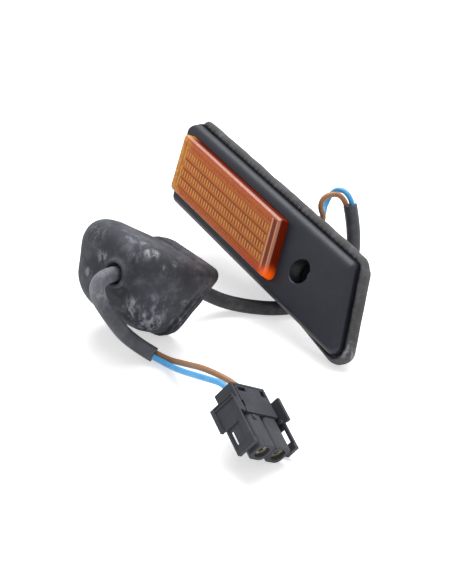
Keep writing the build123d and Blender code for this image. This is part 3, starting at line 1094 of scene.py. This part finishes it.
    def plate(self) -> bpy.types.Object:
        """Plate with a rounded rim, a skirt, the lens opening and a deep screw recess.

        Returns:
            The new object.
        """
        form, front, back, under = self.plate_form, self.plate_front, self.plate_back, self.plate_under
        loops = form.crown(front, self.plate_round, self.plate_widths)
        for height, inset in ((back, 0.0), (back, self.skirt), (under, self.skirt)):
            loops.append(form.loop(height, inset))
        opening = [self.lens_form.loop(height, -self.fit) for height in (front, under)]
        shell = Shell()
        outer, inner = shell.tube(loops)
        window, behind = shell.tube(opening)
        hole, boss = shell.tube([circle(self.screw, *step) for step in self.recess])
        shell.cap(outer + window + hole)
        shell.cap(inner + behind + boss)
        return shell.piece("bezel_body", self.place, self.plate_sharp)

    def gasket(self) -> bpy.types.Object:
        """Rubber gasket, with its lip pulled up behind the plate.

        Returns:
            The new object.
        """
        ring = softened("gasket", "gasket_rubber_ring", self.ring_voxel * MM, self.ring_rounds,
                        self.ring_wave * MM, self.ring_period * MM)
        turn = self.place.matrix() @ Matrix.Scale(MM, 4)
        back, lean = turn.inverted(), 1 / tan(self.plate_form.slant)
        for vertex in ring.data.vertices:
            x, y, z = back @ vertex.co
            along = between(x + y * lean, self.pull_along)
            across = between(y, self.pull_across)
            if y < self.screw[1]:
                across += (y - across) * fade(along, self.loose_from, self.loose_over)
            vertex.co = turn @ Vector((along - across * lean, across, z))
        return ring

    def build(self) -> None:
        """Build and dress the lamp head."""
        glows = tuple(self.spot(place, self.glow_reach, self.glow_weight) for place in self.glows)
        amber = FlutedAmber("fluted_amber", self.place, self.lens_form.slant, self.field_x,
                            self.field_y, self.flutes, self.rows, glows)
        enlist(self.lens(), "lens", amber.material())
        rubber = DustyRubber("gasket_rubber", tone(86, 86, 88), haze=0.2, scuffs_and_sheen=self.scuffs_and_sheen)
        enlist(self.gasket(), "gasket", rubber.material())
        # painted shade darkening the plate in and round the screw recess
        deep = self.spot((*self.screw, self.recess_shade_middle), self.recess_shade_reach)
        satin = MouldedPlastic("bezel_satin", tone(35, 39, 50), roughness=0.42, sheen=0.4,
                               shaded_hollows=(deep,))
        enlist(self.plate(), "bezel_plate", satin.material())
        self.dress_rear()

    def dress_rear(self) -> None:
        """Dress the chamber behind the plate and what it holds."""
        housing = MouldedPlastic("housing_black", tone(34, 34, 36), roughness=0.45).material()
        dress("rear_housing", housing)
        dress("bulb_holder", housing)
        foil = BareMetal("reflector_foil", (0.86, 0.86, 0.88, 1.0), (0.7, 0.7, 0.72, 1.0),
                         roughness=0.18)
        dress("reflector", foil.material())
        dress("bulb", BulbGlass("bulb_glass", (0.98, 0.98, 0.97, 1.0)).material())
        seal = DustyRubber("seal_rubber", tone(42, 42, 44), haze=0.05).material()
        for node in ("holder_seal", "wire_seal"):
            dress(node, seal)
        brass = BareMetal("contact_brass", tone(176, 160, 120), tone(120, 104, 78)).material()
        for node in ("contact_blue", "contact_brown"):
            dress(node, brass)


@dataclass
class Cord:
    """Round cord along a smooth route, with an open end of the given bore where it has one."""

    name: str
    node: str
    slot: Slot
    route: Route
    diameter: float
    bore: float = 0.0
    bore_depth: float = 0.0
    bore_flare: float = 0.15 * MM
    sides: int = 28
    smoothness: int = 14
    sharp: float = 40.0

    def centreline(self) -> list[Vector]:
        """Points along the smooth line that the route controls.

        Returns:
            Points from the cord's first end to its last.
        """
        curve = bpy.data.curves.new(self.name, "CURVE")
        curve.dimensions = "3D"
        spline = curve.splines.new("NURBS")
        spline.points.add(len(self.route) - 1)
        for control, point in zip(spline.points, self.route):
            control.co = (*point, 1.0)
        spline.order_u = 3
        spline.use_endpoint_u = True
        spline.resolution_u = self.smoothness
        carrier = bpy.data.objects.new(self.name, curve)
        line = bpy.data.meshes.new_from_object(carrier)
        points = [vertex.co.copy() for vertex in line.vertices]
        bpy.data.objects.remove(carrier)
        bpy.data.curves.remove(curve)
        bpy.data.meshes.remove(line)
        return points

    def stations(self, line: list[Vector]) -> list[Station]:
        """Centre and two cross directions at each point, without twist.

        Args:
            line: Points of the centreline.

        Returns:
            Tuples of centre, first and second cross direction.
        """
        ways = [(b - a).normalized() for a, b in zip(line, line[1:])]
        ways = [ways[0]] + [(a + b).normalized() for a, b in zip(ways, ways[1:])] + [ways[-1]]
        across = ways[0].orthogonal().normalized()
        found = []
        for centre, way in zip(line, ways):
            across = (across - way * across.dot(way)).normalized()
            found.append((centre, across.copy(), way.cross(across)))
        return found

    def bored(self, stations: list[Station]) -> list[tuple[Station, float]]:
        """Rings of the open bore at one end, from the rim inwards.

        Args:
            stations: Stations of the cord from that end on.

        Returns:
            Stations with their radii.
        """
        start = stations[0][0]
        inner = [station for station in stations if (station[0] - start).length <= self.bore_depth]
        rim = (inner[0], self.bore + self.bore_flare)
        return [rim, *[(station, self.bore) for station in inner]]

    def build(self, material: bpy.types.Material) -> tuple[bpy.types.Object, list[Vector]]:
        """Build the cord and dress it.

        Args:
            material: Its finish.

        Returns:
            The piece and its centreline.
        """
        line = self.centreline()
        stations = self.stations(line)
        plan = [(station, self.diameter / 2) for station in stations]
        if self.bore:
            plan = self.bored(stations)[::-1] + plan + self.bored(stations[::-1])
        angles = [2 * pi * i / self.sides for i in range(self.sides)]
        mesh = bmesh.new()
        loops = []
        for (centre, across, up), radius in plan:
            ring = [centre + (across * cos(a) + up * sin(a)) * radius for a in angles]
            loops.append([mesh.verts.new(point) for point in ring])
        for first, second in zip(loops, loops[1:]):
            for i in range(self.sides):
                mesh.faces.new((first[i - 1], first[i], second[i], second[i - 1]))
        mesh.faces.new(loops[0])
        mesh.faces.new(loops[-1])
        bmesh.ops.recalc_face_normals(mesh, faces=mesh.faces)
        piece = link_mesh(self.name, settled(self.name, mesh), self.sharp)
        return enlist(piece, self.node, material), line


@dataclass
class Lead:
    """Sheathed lead from the lamp through the boot, and the four wire ends that leave it."""

    sheath_route: Route = (
        (-0.00080, 0.03520, 0.03000), (0.00280, 0.03600, 0.01700), (0.01100, 0.02780, 0.00470),
        (0.02150, 0.00680, 0.00310), (0.02300, -0.01470, 0.00310), (0.00700, -0.03170, 0.00310),
        (0.00150, -0.04470, 0.01100), (0.00218, -0.05647, 0.02375), (0.00765, -0.07701, 0.03276),
        (0.01242, -0.09493, 0.03879), (0.01300, -0.10000, 0.03320), (0.01620, -0.09500, 0.02160),
        (0.01510, -0.08670, 0.00760), (0.02360, -0.08020, 0.00310))
    lamp_blue: Route = (
        (-0.00805, 0.01506, 0.01208), (-0.00598, 0.02433, 0.02433), (-0.01090, 0.02890, 0.02800),
        (-0.00970, 0.03330, 0.03560), (-0.00146, 0.03601, 0.03496), (0.00118, 0.03660, 0.02544))
    lamp_brown: Route = (
        (-0.00549, 0.01506, 0.01165), (-0.00342, 0.02433, 0.02390), (-0.00610, 0.02180, 0.03070),
        (-0.00620, 0.02590, 0.03570), (-0.00275, 0.03381, 0.03447), (-0.00012, 0.03440, 0.02494))
    plug_blue: Route = (
        (0.02071, -0.08405, 0.00497), (0.02795, -0.07850, 0.00114), (0.04330, -0.08060, 0.00650),
        (0.06550, -0.08230, 0.01550), (0.08040, -0.08176, 0.02046), (0.08820, -0.08286, 0.01727))
    plug_brown: Route = (
        (0.01917, -0.08195, 0.00510), (0.02642, -0.07641, 0.00127), (0.04110, -0.07720, 0.00740),
        (0.06230, -0.07860, 0.01630), (0.07954, -0.07444, 0.01583), (0.08734, -0.07554, 0.01265))
    sheath_diameter: float = 6.2 * MM
    sheath_bore: float = 2.6 * MM
    sheath_bore_depth: float = 5.0 * MM
    sheath_length: float = 0.2174
    wire_diameter: float = 2.4 * MM
    lamp_length: float = 0.0465
    plug_length: float = 0.0735
    spout: Point = (-0.00520, 0.02209, 0.02115)
    # dust at the sheath's bend, also standing for a painted highlight there
    scuffs_and_sheen: tuple[Patch, ...] = (Patch((0.0120, -0.0985, 0.0370), 20 * MM, 0.3),
                                 Patch((0.0162, -0.0984, 0.0330), 4 * MM, 0.9))
    # painted sheen along the outer side of the bend
    painted_sheens: tuple[Patch, ...] = (Patch((0.0098, -0.1034, 0.0350), 14 * MM, 0.6),)
    # painted shade over the sheath's run behind the boot, towards the lamp
    stains_and_shades: tuple[Patch, ...] = (Patch((0.0200, -0.0100, 0.0030), 70 * MM, 1.5),)

    def build(self, boot: bpy.types.Object) -> None:
        """Args:
            boot: Boot that the sheath runs through.
        """
        self.sheath(boot)
        blue = WireJacket("wire_blue", tone(96, 188, 252), tone(76, 160, 230)).material()
        brown = WireJacket("wire_brown", tone(180, 130, 92), tone(148, 100, 68)).material()
        self.wires("blue", Slot.BLUE, blue, self.lamp_blue, self.plug_blue)
        self.wires("brown", Slot.BROWN, brown, self.lamp_brown, self.plug_brown)

    def sheath(self, boot: bpy.types.Object) -> None:
        """Build the sheath, open at both ends.

        Args:
            boot: Boot that the sheath runs through; not used.
        """
        # the light base colour is a painted highlight on the loop in front of the boot; the dark
        # colour below is painted shade for the run behind it
        jacket = DustyRubber("sheath_black", tone(82, 85, 93), haze=0.12, roughness=0.5, sheen=0.4,
                             scuffs_and_sheen=self.scuffs_and_sheen, painted_sheens=self.painted_sheens, stains_and_shades=self.stains_and_shades,
                             stain_and_shade=tone(40, 40, 43))
        sheath = Cord("lead_sheath", "sheath", Slot.SHEATH, self.sheath_route, self.sheath_diameter,
                      self.sheath_bore, self.sheath_bore_depth)
        piece, line = sheath.build(jacket.material())

    def wires(self, colour: str, slot: Slot, finish: bpy.types.Material, lamp: Route,
              plug: Route) -> None:
        """Build the two ends of one wire, at the lamp and at the plug.

        Args:
            colour: Name of the wire's colour.
            slot: Material slot of the record.
            finish: Material of the wire.
            lamp: Route from the holder's spout into the sheath.
            plug: Route from the sheath into the plug.
        """
        wire = Cord(f"lamp_end_{colour}", f"lamp_wire_{colour}", slot, lamp, self.wire_diameter)
        piece, line = wire.build(finish)
        wire = Cord(f"plug_end_{colour}", f"plug_wire_{colour}", slot, plug, self.wire_diameter)
        piece, line = wire.build(finish)


@dataclass
class Boot:
    """Rubber boot with lips round its mouth and a nipple for the lead.

    The dome and the nipple are in millimetres in the boot's own frame, with Z out of the dome.
    """

    place: Placement = Placement((-0.00283, -0.06874, 0.02035), -75.1, -18.0, 0.0)
    nipple: Span = (8.0, 8.5)
    nipple_firm: float = 6.5
    nipple_fade: float = 6.0
    dome_from: float = 1.0
    dome_fade: float = 8.0
    dome_rounds: int = 70
    edge_rounds: int = 3
    voxel: float = 0.45 * MM
    wave: float = 0.18 * MM
    period: float = 8.0 * MM
    scuffs_and_sheen: tuple[Patch, ...] = (
        Patch((0.0178, -0.0765, 0.0453), 4 * MM, 2.0), Patch((0.0012, -0.0896, 0.0402), 4 * MM, 1.5),
        Patch((-0.0039, -0.0937, 0.0321), 3 * MM, 1.4), Patch((0.0111, -0.0764, 0.0464), 4 * MM, 0.8),
        Patch((0.0069, -0.0788, 0.0475), 6 * MM, 0.5), Patch((0.0142, -0.0821, 0.0453), 6 * MM, 0.35),
        Patch((0.0142, -0.0862, 0.0201), 5 * MM, 1.3), Patch((0.0155, -0.0783, 0.0126), 9 * MM, 2.0),
        Patch((0.0194, -0.0773, 0.0210), 12 * MM, 0.6), Patch((0.0209, -0.0644, 0.0205), 3 * MM, 1.2),
        Patch((0.0170, -0.0655, 0.0104), 4 * MM, 1.2), Patch((0.0162, -0.0849, 0.0252), 5 * MM, 0.7),
        Patch((0.0223, -0.0744, 0.0392), 3 * MM, 0.8), Patch((0.0212, -0.0687, 0.0397), 3 * MM, 0.9),
        Patch((-0.0072, -0.0875, 0.0475), 9 * MM, 0.35))
    # darker and browner towards the boot's right-hand end
    stains_and_shades: tuple[Patch, ...] = (Patch((0.0240, -0.0540, 0.0350), 24 * MM, 0.8),)

    def relax(self, piece: bpy.types.Object) -> None:
        """Let the dome sag into a soft round form, but for its nipple.

        Args:
            piece: The boot.
        """
        group = piece.vertex_groups.new(name="dome")
        back = Matrix.Scale(1 / MM, 4) @ self.place.matrix().inverted()
        for vertex in piece.data.vertices:
            x, y, z = back @ vertex.co
            apart = hypot(x - self.nipple[0], y - self.nipple[1])
            clear = fade(apart, self.nipple_firm, self.nipple_fade)
            free = fade(z, self.dome_from, self.dome_fade) * clear
            group.add([vertex.index], free, "REPLACE")
        sag = piece.modifiers.new("sag", "SMOOTH")
        sag.factor = EASING
        sag.iterations = self.dome_rounds
        sag.vertex_group = group.name
        soft = applied(piece)
        piece.modifiers.clear()
        piece.vertex_groups.clear()
        piece.data = soft

    def build(self) -> bpy.types.Object:
        """Build and dress the boot.

        Returns:
            The new object.
        """
        piece = softened("boot", "boot_rubber_cap", self.voxel, self.edge_rounds,
                         self.wave, self.period)
        self.relax(piece)
        finish = DustyRubber("boot_rubber", tone(70, 73, 81), haze=0.2, scuffs_and_sheen=self.scuffs_and_sheen,
                             stains_and_shades=self.stains_and_shades)
        return enlist(piece, "boot", finish.material())


@dataclass
class Connector:
    """Two-way connector with a lid, two latch levers and socket terminals."""

    shell_edge: float = 0.2 * MM
    lid_edge: float = 0.15 * MM

    def build(self) -> None:
        """Dress the connector."""
        shell = MouldedPlastic("connector_black", tone(75, 77, 84), roughness=0.55,
                               edge=self.shell_edge)
        dress("connector_shell", shell.material())
        lid = MouldedPlastic("connector_lid", tone(74, 76, 84), roughness=0.6, grain=1400.0,
                             edge=self.lid_edge)
        dress("connector_cover", lid.material())
        tin = BareMetal("terminal_tin", tone(226, 218, 192), tone(168, 158, 132), roughness=0.32)
        sockets = tin.material()
        for node in ("terminal_blue", "terminal_brown"):
            dress(node, sockets)


@dataclass
class Studio:
    """White table, soft overhead light and the camera."""

    camera_at: Point = (0.41062, -0.29514, 0.27667)
    heading: float = 57.243
    elevation: float = 29.0
    focal: float = 80.2
    clip: Span = (0.01, 20.0)
    floor_side: float = 6.0
    floor_gap: float = 0.05 * MM
    floor_colour: Colour = (0.9, 0.9, 0.9, 1.0)
    floor_glow: float = 0.55
    dome: float = 0.42
    key_at: Point = (-0.25, 0.25, 0.85)
    key_size: Span = (0.9, 0.7)
    key_power: float = 9.5

    def build(self) -> None:
        """Make the camera, the floor, the lights and the world."""
        scene = bpy.context.scene
        data = bpy.data.cameras.new("camera")
        data.lens = self.focal
        data.clip_start, data.clip_end = self.clip
        camera = bpy.data.objects.new("camera", data)
        camera.location = self.camera_at
        camera.rotation_euler = (radians(90 - self.elevation), 0.0, radians(self.heading))
        scene.collection.objects.link(camera)
        scene.camera = camera
        scene.view_settings.view_transform = "Standard"
        self.floor()
        self.lights()
        self.world()

    def floor(self) -> None:
        """White table top that keeps the soft shadows."""
        mesh = bmesh.new()
        bmesh.ops.create_grid(mesh, x_segments=8, y_segments=8, size=self.floor_side / 2)
        floor = link_mesh("table_top", settled("table_top", mesh), ALL_SMOOTH)
        floor.location.z = -self.floor_gap
        g = Graph("table_white")
        g.fix(Base_Color=self.floor_colour, Roughness=0.9, Emission_Color=WHITE,
              Emission_Strength=g.maths("MULTIPLY", self.seen(g), self.floor_glow))
        floor.data.materials.append(g.material)

    @staticmethod
    def seen(g: Graph) -> Socket:
        """Tell the rays that show the table from those that light the part.

        Args:
            g: Graph of the table's material.

        Returns:
            Value of 1 for rays from the camera, reflections and refractions.
        """
        path = g.add("ShaderNodeLightPath")
        value = g.maths("MAXIMUM", path.outputs["Is Camera Ray"], path.outputs["Is Glossy Ray"])
        return g.maths("MAXIMUM", value, path.outputs["Is Transmission Ray"])

    def lights(self) -> None:
        """Large soft light overhead, a little behind the part."""
        data = bpy.data.lights.new("overhead", "AREA")
        data.energy = self.key_power
        data.shape = "RECTANGLE"
        data.size, data.size_y = self.key_size
        light = bpy.data.objects.new("overhead", data)
        light.location = self.key_at
        light.rotation_euler = (-light.location).to_track_quat("-Z", "Y").to_euler()
        bpy.context.scene.collection.objects.link(light)

    def world(self) -> None:
        """Even white surroundings: white where they are seen, softer where they light the part."""
        world = bpy.data.worlds.new("surroundings")
        world.use_nodes = True
        tree = world.node_tree
        back = tree.nodes["Background"]
        path = tree.nodes.new("ShaderNodeLightPath")
        total = path.outputs["Is Camera Ray"]
        for name in ("Is Glossy Ray", "Is Transmission Ray"):
            node = tree.nodes.new("ShaderNodeMath")
            node.operation = "MAXIMUM"
            tree.links.new(total, node.inputs[0])
            tree.links.new(path.outputs[name], node.inputs[1])
            total = node.outputs["Value"]
        level = tree.nodes.new("ShaderNodeMapRange")
        tree.links.new(total, level.inputs["Value"])
        level.inputs["To Min"].default_value = self.dome
        level.inputs["To Max"].default_value = 1.0
        tree.links.new(level.outputs["Result"], back.inputs["Strength"])
        back.inputs["Color"].default_value = WHITE
        bpy.context.scene.world = world


def main() -> None:
    """Build the studio and dress the part, piece by piece."""
    logging.basicConfig(level=logging.INFO, format="%(message)s")
    Studio().build()
    boot = Boot().build()
    Lead().build(boot)
    Lamp().build()
    Connector().build()


if __name__ == "__main__":
    main()
